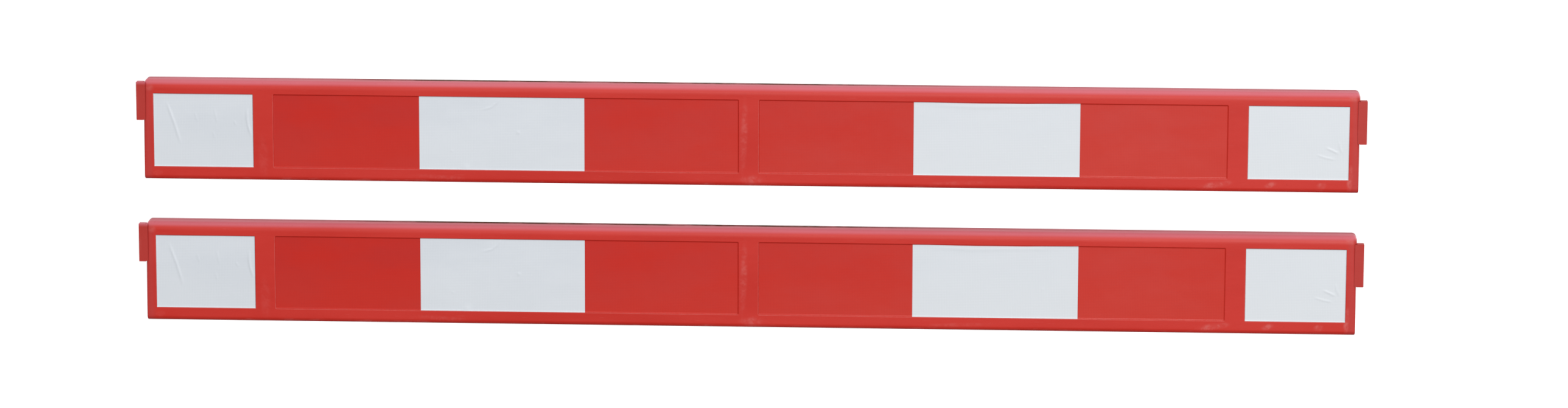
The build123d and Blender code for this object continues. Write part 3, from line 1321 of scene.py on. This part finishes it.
@dataclass
class FilmMaker:
    """Makes the sheeting strips, which lie on the recess floor and lap a little up its sloped rim.

    The rim's stations and the waves are in millimetres, and every other length is in metres.
    """

    form: RailForm
    thickness: float = 0.30 * MM
    glue_line: float = 0.03 * MM
    butt_gap: float = 0.10 * MM
    rim_gap: float = 0.55 * MM
    rim_reach: float = 3.0 * MM
    rim_stations: tuple[float, ...] = (0.4, 0.8, 1.2, 1.6, 2.2)
    edge_share: float = 0.10
    ripples_per_metre: float = 9.0
    ripple_middle: float = 0.45
    ripple_gain: float = 1.6
    wave_height: float = 0.10
    waves_along: float = 0.018
    waves_up: float = 0.026
    strip_seed: float = 3.7
    side_seed: float = 40.0

    def opening_of(self, x: float) -> Opening:
        """The recess that a place along the rail is in."""
        return next(o for o in self.form.openings if o.left < x < o.right)

    def extent(self, film: Film, side: Side) -> Opening:
        """Edges of a strip, from its CAD box and the recess that it lies in.

        Args:
            film: The strip.
            side: Face of the rail that it is on.

        Returns:
            The edges, clear of the recess's rims and of the next strip.
        """
        low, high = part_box(f"lower_{side.name.lower()}_{film.name}")
        opening = self.opening_of((low.x + high.x) / 2)
        at_left = low.x - opening.left < self.rim_reach
        at_right = opening.right - high.x < self.rim_reach
        return Opening(
            left=opening.left + self.rim_gap if at_left else low.x + self.butt_gap,
            right=opening.right - self.rim_gap if at_right else high.x - self.butt_gap,
            bottom=opening.bottom + self.rim_gap,
            top=opening.top - self.rim_gap,
        )

    def stations(self, low: float, high: float, step: float) -> np.ndarray:
        """Places of the strip's columns or rows, closer together near its two edges."""
        rim = [s * MM for s in self.rim_stations]
        return filled([low, high] + [low + s for s in rim] + [high - s for s in rim], step)

    def mesh(self, film: Film, side: Side, number: int) -> bpy.types.Mesh:
        """Closed thin strip.

        Args:
            film: The strip and its marks.
            side: Face of the rail that it is on.
            number: Its place in the row, which shifts its slight waves, so that no two are alike.

        Returns:
            The mesh, for a rail that stands on Z = 0.
        """
        seed = self.strip_seed * number + self.side_seed * side.value
        edges = self.extent(film, side)
        x = self.stations(edges.left, edges.right, film.step * MM)
        z = self.stations(edges.bottom, edges.top, film.step * MM)
        grid_x, grid_z = np.meshgrid(x, z, indexing="ij")
        share = (grid_z - edges.bottom) / (edges.top - edges.bottom)
        near_top = np.clip((share - (1 - self.edge_share)) / self.edge_share, 0, 1)
        grid_z = grid_z + near_top * self.top_rise(film, x, edges, seed)[:, None] * MM
        floor = self.form.half_thickness - self.form.recess(grid_x, grid_z)
        lift = self.lift(film, (grid_x - edges.left) / MM, (grid_z - edges.bottom) / MM, seed)
        outer = np.stack([grid_x, side.value * (floor + self.thickness + lift), grid_z], axis=-1)
        inner = np.stack([grid_x, side.value * (floor + self.glue_line), grid_z], axis=-1)
        outer[..., 1] = np.clip(outer[..., 1], -self.form.half_thickness, self.form.half_thickness)
        mesh = slab_mesh(film.name, outer, inner, False)
        smooth(mesh, FILM_CREASE_ANGLE)
        return mesh

    def top_rise(self, film: Film, x: np.ndarray, edges: Opening, seed: float) -> np.ndarray:
        """How far the strip's top edge rises along it, in millimetres.

        Args:
            film: The strip.
            x: Places along the rail.
            edges: The strip's edges.
            seed: Shift of its ripples.

        Returns:
            The rise at each place.
        """
        ripple = np.array([noise.noise(Vector((a * self.ripples_per_metre, seed, 0.0))) for a in x])
        along, rise = zip(*film.top_edge)
        edge = np.interp((x - edges.left) / (edges.right - edges.left), along, rise)
        return edge + (ripple - self.ripple_middle) * film.top_ripple * self.ripple_gain

    def lift(self, film: Film, u: np.ndarray, v: np.ndarray, seed: float) -> np.ndarray:
        """How far the film's face stands off its flat, in metres.

        Args:
            film: The strip and its marks.
            u: Places along the film, in millimetres.
            v: Heights on the film, in millimetres.
            seed: Shift of its waves.

        Returns:
            The distance at each place.
        """
        height = np.zeros_like(u)
        for mark in film.marks:
            height += mark.lift(u, v)
        waves = np.empty_like(u)
        for index in np.ndindex(u.shape):
            place = Vector((u[index] * self.waves_along, seed, v[index] * self.waves_up))
            waves[index] = noise.noise(place)
        return (height + self.wave_height * (1 + waves)) * MM


# ---------------------------------------------------------------- screws


@dataclass
class ScrewRow:
    """Pan-head screws with a cross recess, laid out by a Geometry Nodes tree."""

    fixings: Fixings
    back: float
    head_height: float = 3.0 * MM
    shank_radius: float = 2.4 * MM
    shank_length: float = 37.0 * MM
    slot_width: float = 1.1 * MM
    slot_length: float = 5.4 * MM
    slot_depth: float = 1.8 * MM
    head_segments: int = 28
    head_rings: int = 16
    shank_segments: int = 20
    turn_seed: int = 11

    def tree(self) -> bpy.types.NodeTree:
        """Build the tree: one screw, set at every point of two straight rows.

        Returns:
            A Geometry Nodes tree with named inputs for its sizes.
        """
        tree = bpy.data.node_groups.new("screw_rows", "GeometryNodeTree")
        numbers = {
            "Head Radius": self.fixings.screw_head_radius,
            "Head Height": self.head_height,
            "Shank Radius": self.shank_radius,
            "Shank Length": self.shank_length,
            "Slot Width": self.slot_width,
            "Slot Length": self.slot_length,
            "Slot Depth": self.slot_depth,
            "Column Spacing": self.fixings.screw_spacing(),
            "Lower Row": self.fixings.screw_rows[0],
            "Upper Row": self.fixings.screw_rows[1],
            "Seat": self.back - self.fixings.screw_sink,
            "Rail Height": 0.0,
        }
        for name, value in numbers.items():
            socket = tree.interface.new_socket(name, in_out="INPUT", socket_type="NodeSocketFloat")
            socket.default_value = value
        columns = tree.interface.new_socket("Columns", in_out="INPUT", socket_type="NodeSocketInt")
        columns.default_value = self.fixings.screw_columns
        tree.interface.new_socket("Finish", in_out="INPUT", socket_type="NodeSocketMaterial")
        tree.interface.new_socket("Geometry", in_out="OUTPUT", socket_type="NodeSocketGeometry")
        nodes, links = tree.nodes, tree.links
        given = nodes.new("NodeGroupInput").outputs

        def add(
            kind: str, settings: dict | None = None, inputs: dict | None = None, output: int = 0
        ) -> bpy.types.NodeSocket:
            """Add one node and return one of its outputs.

            Args:
                kind: The node's type.
                settings: Its attributes, set first.
                inputs: Values or links for its sockets.
                output: Which output is returned.

            Returns:
                The chosen output.
            """
            node = nodes.new(kind)
            for key, value in (settings or {}).items():
                setattr(node, key, value)
            for key, value in (inputs or {}).items():
                if isinstance(value, bpy.types.NodeSocket):
                    links.new(value, node.inputs[key])
                else:
                    node.inputs[key].default_value = value
            return node.outputs[output]

        def maths(operation: str, first: object, second: object) -> bpy.types.NodeSocket:
            """Result of one Math node."""
            return add("ShaderNodeMath", {"operation": operation}, {0: first, 1: second})

        def vector(x: object = 0.0, y: object = 0.0, z: object = 0.0) -> bpy.types.NodeSocket:
            """Vector of three numbers."""
            return add("ShaderNodeCombineXYZ", None, {0: x, 1: y, 2: z})

        def moved(shape: bpy.types.NodeSocket, place: object, **more: object) -> bpy.types.NodeSocket:
            """Geometry moved to a place."""
            return add("GeometryNodeTransform", None, {"Geometry": shape, "Translation": place} | more)

        def joined(*shapes: bpy.types.NodeSocket) -> bpy.types.NodeSocket:
            """Geometries joined into one.

            Args:
                shapes: The geometries.

            Returns:
                The joined geometry.
            """
            node = nodes.new("GeometryNodeJoinGeometry")
            for shape in shapes:
                links.new(shape, node.inputs[0])
            return node.outputs[0]

        size = {"Segments": self.head_segments, "Rings": self.head_rings, "Radius": given["Head Radius"]}
        ball = add("GeometryNodeMeshUVSphere", None, size)
        flatten = maths("DIVIDE", given["Head Height"], given["Head Radius"])
        dome = moved(ball, (0.0, 0.0, 0.0), Scale=vector(1.0, 1.0, flatten))
        wide = maths("MULTIPLY", given["Head Radius"], 4.0)
        below = add("GeometryNodeMeshCube", None, {"Size": vector(wide, wide, wide)})
        below = moved(below, vector(0.0, 0.0, maths("MULTIPLY", wide, -0.5)))
        arms = []
        deep = maths("MULTIPLY", given["Slot Depth"], 2.0)
        for long_x, long_y in (("Slot Length", "Slot Width"), ("Slot Width", "Slot Length")):
            arm = add("GeometryNodeMeshCube", None, {"Size": vector(given[long_x], given[long_y], deep)})
            arms.append(moved(arm, vector(0.0, 0.0, given["Head Height"])))
        cutting = nodes.new("GeometryNodeMeshBoolean")
        cutting.operation = "DIFFERENCE"
        links.new(dome, cutting.inputs["Mesh 1"])
        for tool in (below, *arms):
            links.new(tool, cutting.inputs["Mesh 2"])
        size = {"Radius": given["Shank Radius"], "Depth": given["Shank Length"]}
        shank = add("GeometryNodeMeshCylinder", None, {"Vertices": self.shank_segments} | size)
        shank = moved(shank, vector(0.0, 0.0, maths("MULTIPLY", given["Shank Length"], -0.5)))
        screw = joined(cutting.outputs[0], shank)
        screw = moved(screw, (0.0, 0.0, 0.0), Rotation=(-math.pi / 2, 0.0, 0.0))

        last = maths("SUBTRACT", given["Columns"], 1)
        start = maths("MULTIPLY", maths("MULTIPLY", given["Column Spacing"], last), -0.5)
        rows = []
        for row in ("Lower Row", "Upper Row"):
            corner = vector(start, given["Seat"], maths("ADD", given[row], given["Rail Height"]))
            step = vector(given["Column Spacing"])
            line = {"Count": given["Columns"], "Start Location": corner, "Offset": step}
            rows.append(add("GeometryNodeMeshLine", None, line))
        # Of a Random Value node, inputs 2 and 3 are the float range, 8 is the seed, output 1 the float.
        quarter_turn = {2: 0.0, 3: math.pi / 2, 8: self.turn_seed}
        turn = add("FunctionNodeRandomValue", {"data_type": "FLOAT"}, quarter_turn, 1)
        setting = nodes.new("GeometryNodeInstanceOnPoints")
        links.new(joined(*rows), setting.inputs["Points"])
        links.new(screw, setting.inputs["Instance"])
        links.new(vector(0.0, turn, 0.0), setting.inputs["Rotation"])
        real = add("GeometryNodeRealizeInstances", None, {"Geometry": setting.outputs[0]})
        dressed = add("GeometryNodeSetMaterial", None, {"Geometry": real, "Material": given["Finish"]})
        result = nodes.new("NodeGroupOutput")
        links.new(dressed, result.inputs[0])
        return tree

    def mesh(
        self, tree: bpy.types.NodeTree, rail_height: float, finish: bpy.types.Material
    ) -> bpy.types.Mesh:
        """Plain mesh of one rail's screws.

        Args:
            tree: The tree that lays them out.
            rail_height: Height of the rail's bottom.
            finish: Their material.

        Returns:
            The mesh.
        """
        carrier = link_object("screw_carrier", bpy.data.meshes.new("screw_carrier"))
        modifier = carrier.modifiers.new("screws", "NODES")
        modifier.node_group = tree
        names = {item.name: item.identifier for item in tree.interface.items_tree if item.in_out == "INPUT"}
        modifier[names["Rail Height"]] = rail_height
        modifier[names["Finish"]] = finish
        result = baked_mesh(carrier, "shell_screws")
        carrier.modifiers.remove(modifier)
        bpy.data.objects.remove(carrier)
        smooth(result, SCREW_CREASE_ANGLE)
        return result


# ---------------------------------------------------------------- rails


@dataclass
class RailParts:
    """Meshes that both rails share, for a rail that stands on Z = 0."""

    front_shell: bpy.types.Mesh
    rear_shell: bpy.types.Mesh
    films: dict[tuple[Side, Film], bpy.types.Mesh]


@dataclass
class Rail:
    """One rail: its shells, sheeting, tongues and fixings."""

    name: RailName
    parts: RailParts
    openings: tuple[Opening, ...]
    drop: float = 0.0
    finishes: dict[str, bpy.types.Material] = field(default_factory=dict)

    def prepare(self) -> None:
        """Read the rail's height from the frame and make its finishes."""
        tag = self.name.value
        self.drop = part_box(f"{tag}_front_shell")[0].z
        plastic = RailPlastic()
        tongue = RailPlastic(
            light=(0.455, 0.027, 0.019),
            deep=(0.420, 0.021, 0.013),
            rubbed=(0.520, 0.080, 0.068),
            end_shade=(0.455, 0.027, 0.019),
        )
        steel = PlatedSteel()
        self.finishes = {
            "rail_plastic": plastic.build(f"{tag}_rail_plastic", self.drop, RAIL_SCUFFS, self.openings),
            "tongue_plastic": tongue.build(f"{tag}_tongue_plastic", self.drop, TONGUE_SCUFFS),
            "white_sheeting": WHITE_SHEETING.build(f"{tag}_white_sheeting", self.drop),
            "red_sheeting": RED_SHEETING.build(f"{tag}_red_sheeting", self.drop),
            "screw_steel": steel.build(f"{tag}_screw_steel", self.drop),
            "bolt_steel": steel.build(f"{tag}_bolt_steel", self.drop),
        }

    def place_piece(self, name: str, mesh: bpy.types.Mesh, slot: str) -> bpy.types.Object:
        """Put one finished piece on the rail in place of its CAD node.

        Args:
            name: Name of the CAD node without the rail's prefix.
            mesh: The piece's mesh in its place.
            slot: Material slot that it takes its finish from.

        Returns:
            The piece.
        """
        node = f"{self.name.value}_{name}"
        piece = link_object(f"{node}_piece", mesh)
        mesh.materials.clear()
        mesh.materials.append(self.finishes[slot])
        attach(piece, self.name.body)
        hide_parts(node)
        log.info("%s: %d faces, replaces its CAD node", piece.name, len(mesh.polygons))
        return piece

    def dress_node(self, name: str, slot: str) -> None:
        """Give a CAD node that is shown as it is its finish.

        Args:
            name: Name of the CAD node without the rail's prefix.
            slot: Material slot of its finish.
        """
        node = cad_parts[f"{self.name.value}_{name}"]
        node.data.materials.clear()
        node.data.materials.append(self.finishes[slot])
        log.info("%s: CAD node shown, finish %s", node.name, slot)

    def build(self, screws: ScrewRow, tree: bpy.types.NodeTree) -> None:
        """Make and dress every piece of the rail.

        Args:
            screws: The screws' sizes.
            tree: The tree that lays the screws out.
        """
        self.prepare()
        self.place_piece("front_shell", raised(self.parts.front_shell, self.drop), "rail_plastic")
        self.place_piece("rear_shell", raised(self.parts.rear_shell, self.drop), "rail_plastic")
        for (side, film), mesh in self.parts.films.items():
            self.place_piece(f"{side.name.lower()}_{film.name}", raised(mesh, self.drop), film.slot)
        steel = self.finishes["screw_steel"]
        self.place_piece("shell_screws", screws.mesh(tree, self.drop, steel), "screw_steel")
        for name, slot in (
            ("left_tongue", "tongue_plastic"),
            ("right_tongue", "tongue_plastic"),
            ("tongue_bolts", "bolt_steel"),
            ("tongue_nuts", "bolt_steel"),
        ):
            self.dress_node(name, slot)


# ---------------------------------------------------------------- studio


@dataclass(frozen=True)
class SoftLight:
    """Rectangular soft light, by its place, what it looks at, its size and its power in watts."""

    name: str
    place: Triple
    target: Triple
    width: float
    depth: float
    power: float

    def build(self) -> None:
        """Put the light into the scene."""
        data = bpy.data.lights.new(self.name, "AREA")
        data.shape, data.size, data.size_y, data.energy = "RECTANGLE", self.width, self.depth, self.power
        light = bpy.data.objects.new(self.name, data)
        light.location = self.place
        aim = Vector(self.target) - Vector(self.place)
        light.rotation_euler = aim.to_track_quat("-Z", "Y").to_euler()
        bpy.context.scene.collection.objects.link(light)


@dataclass(frozen=True)
class Studio:
    """Pale floor, soft light and camera."""

    floor_height: float = -0.45
    floor_half_size: float = 60.0
    floor_seen: float = 0.95
    floor_glow: float = 0.32
    floor_bounce: float = 0.24
    sky: float = 0.76
    sky_colour: Colour = (0.955, 0.980, 1.0)
    lights: tuple[SoftLight, ...] = (
        SoftLight("overhead", (0.9, -0.8, 4.2), (0.0, 0.1, 0.2), 4.5, 2.4, 12.0),
        SoftLight("front_right", (2.4, -9.5, 3.2), (0.1, 0.0, 0.2), 3.5, 2.5, 580.0),
        SoftLight("back_left", (-7.0, 6.0, 2.5), (0.0, 0.0, 0.2), 4.0, 3.0, 220.0),
        SoftLight("back_right", (7.0, 6.0, 2.5), (0.0, 0.0, 0.2), 4.0, 3.0, 220.0),
    )
    camera_place: Triple = (0.5664, -11.0836, 2.4132)
    azimuth: float = 2.555
    elevation: float = 11.0
    roll: float = 0.214
    focal_length: float = 125.78
    sensor_width: float = 36.0
    near_clip: float = 0.1
    far_clip: float = 200.0

    def build_floor(self) -> None:
        """Plain floor, white to the eye, which throws back less light than it shows."""
        size = self.floor_half_size
        corners = [(-size, -size), (size, -size), (size, size), (-size, size)]
        mesh = bpy.data.meshes.new("floor")
        mesh.from_pydata([(x, y, self.floor_height) for x, y in corners], [], [(0, 1, 2, 3)])
        floor = link_object("floor", mesh)
        graph = Graph("floor_paint")
        seen = graph.add("ShaderNodeBsdfDiffuse", inputs={"Color": (*[self.floor_seen] * 3, 1.0)})
        glow = graph.add("ShaderNodeEmission", inputs={"Strength": self.floor_glow})
        seen = graph.add("ShaderNodeAddShader", inputs={0: seen, 1: glow})
        bounced = graph.add("ShaderNodeBsdfDiffuse", inputs={"Color": (*[self.floor_bounce] * 3, 1.0)})
        direct = graph.add("ShaderNodeLightPath", output=0)
        paint = graph.add("ShaderNodeMixShader", inputs={0: direct, 1: bounced, 2: seen})
        mesh.materials.append(graph.close(paint))

    def build_sky(self) -> None:
        """Even and very slightly blue light from all round."""
        world = bpy.data.worlds.new("studio")
        world.use_nodes = True
        background = world.node_tree.nodes["Background"]
        background.inputs["Color"].default_value = (*self.sky_colour, 1.0)
        background.inputs["Strength"].default_value = self.sky
        bpy.context.scene.world = world

    def build_camera(self) -> None:
        """Camera in front of the rails, a little above them."""
        azimuth, elevation, roll = (math.radians(a) for a in (self.azimuth, self.elevation, self.roll))
        forward = Vector((
            -math.sin(azimuth) * math.cos(elevation),
            math.cos(azimuth) * math.cos(elevation),
            -math.sin(elevation),
        ))
        right = forward.cross(Vector((0, 0, 1))).normalized()
        up = right.cross(forward)
        turned_right = math.cos(roll) * right + math.sin(roll) * up
        turned_up = math.cos(roll) * up - math.sin(roll) * right
        data = bpy.data.cameras.new("camera")
        data.lens, data.sensor_width, data.sensor_fit = self.focal_length, self.sensor_width, "HORIZONTAL"
        data.clip_start, data.clip_end = self.near_clip, self.far_clip
        camera = bpy.data.objects.new("camera", data)
        axes = Matrix((turned_right, turned_up, -forward)).transposed()
        camera.matrix_world = Matrix.Translation(self.camera_place) @ axes.to_4x4()
        bpy.context.scene.collection.objects.link(camera)
        bpy.context.scene.camera = camera

    def build(self) -> None:
        """Make the whole studio."""
        self.build_camera()
        self.build_floor()
        self.build_sky()
        for light in self.lights:
            light.build()
        bpy.context.scene.view_settings.view_transform = "Standard"
        log.info("studio: camera, floor and %d lights", len(self.lights))


def make_parts(form: RailForm) -> RailParts:
    """Make the meshes that both rails share.

    Args:
        form: The rail's shape.

    Returns:
        Its shells and sheeting.
    """
    shells = ShellMaker(form)
    maker = FilmMaker(form)
    films = {}
    for side, kinds in ((Side.FRONT, FRONT_FILMS), (Side.REAR, REAR_FILMS)):
        for k, film in enumerate(kinds):
            films[(side, film)] = maker.mesh(film, side, k)
    return RailParts(shells.front(), shells.rear(), films)


def main() -> None:
    """Build the studio and both rails, and report each piece."""
    logging.basicConfig(level=logging.INFO, format="%(name)s: %(message)s")
    Studio().build()
    form = RailForm.from_frame()
    parts = make_parts(form)
    screws = ScrewRow(Fixings(), form.half_thickness)
    tree = screws.tree()
    for name in RailName:
        Rail(name, parts, form.openings).build(screws, tree)


if __name__ == "__main__":
    main()
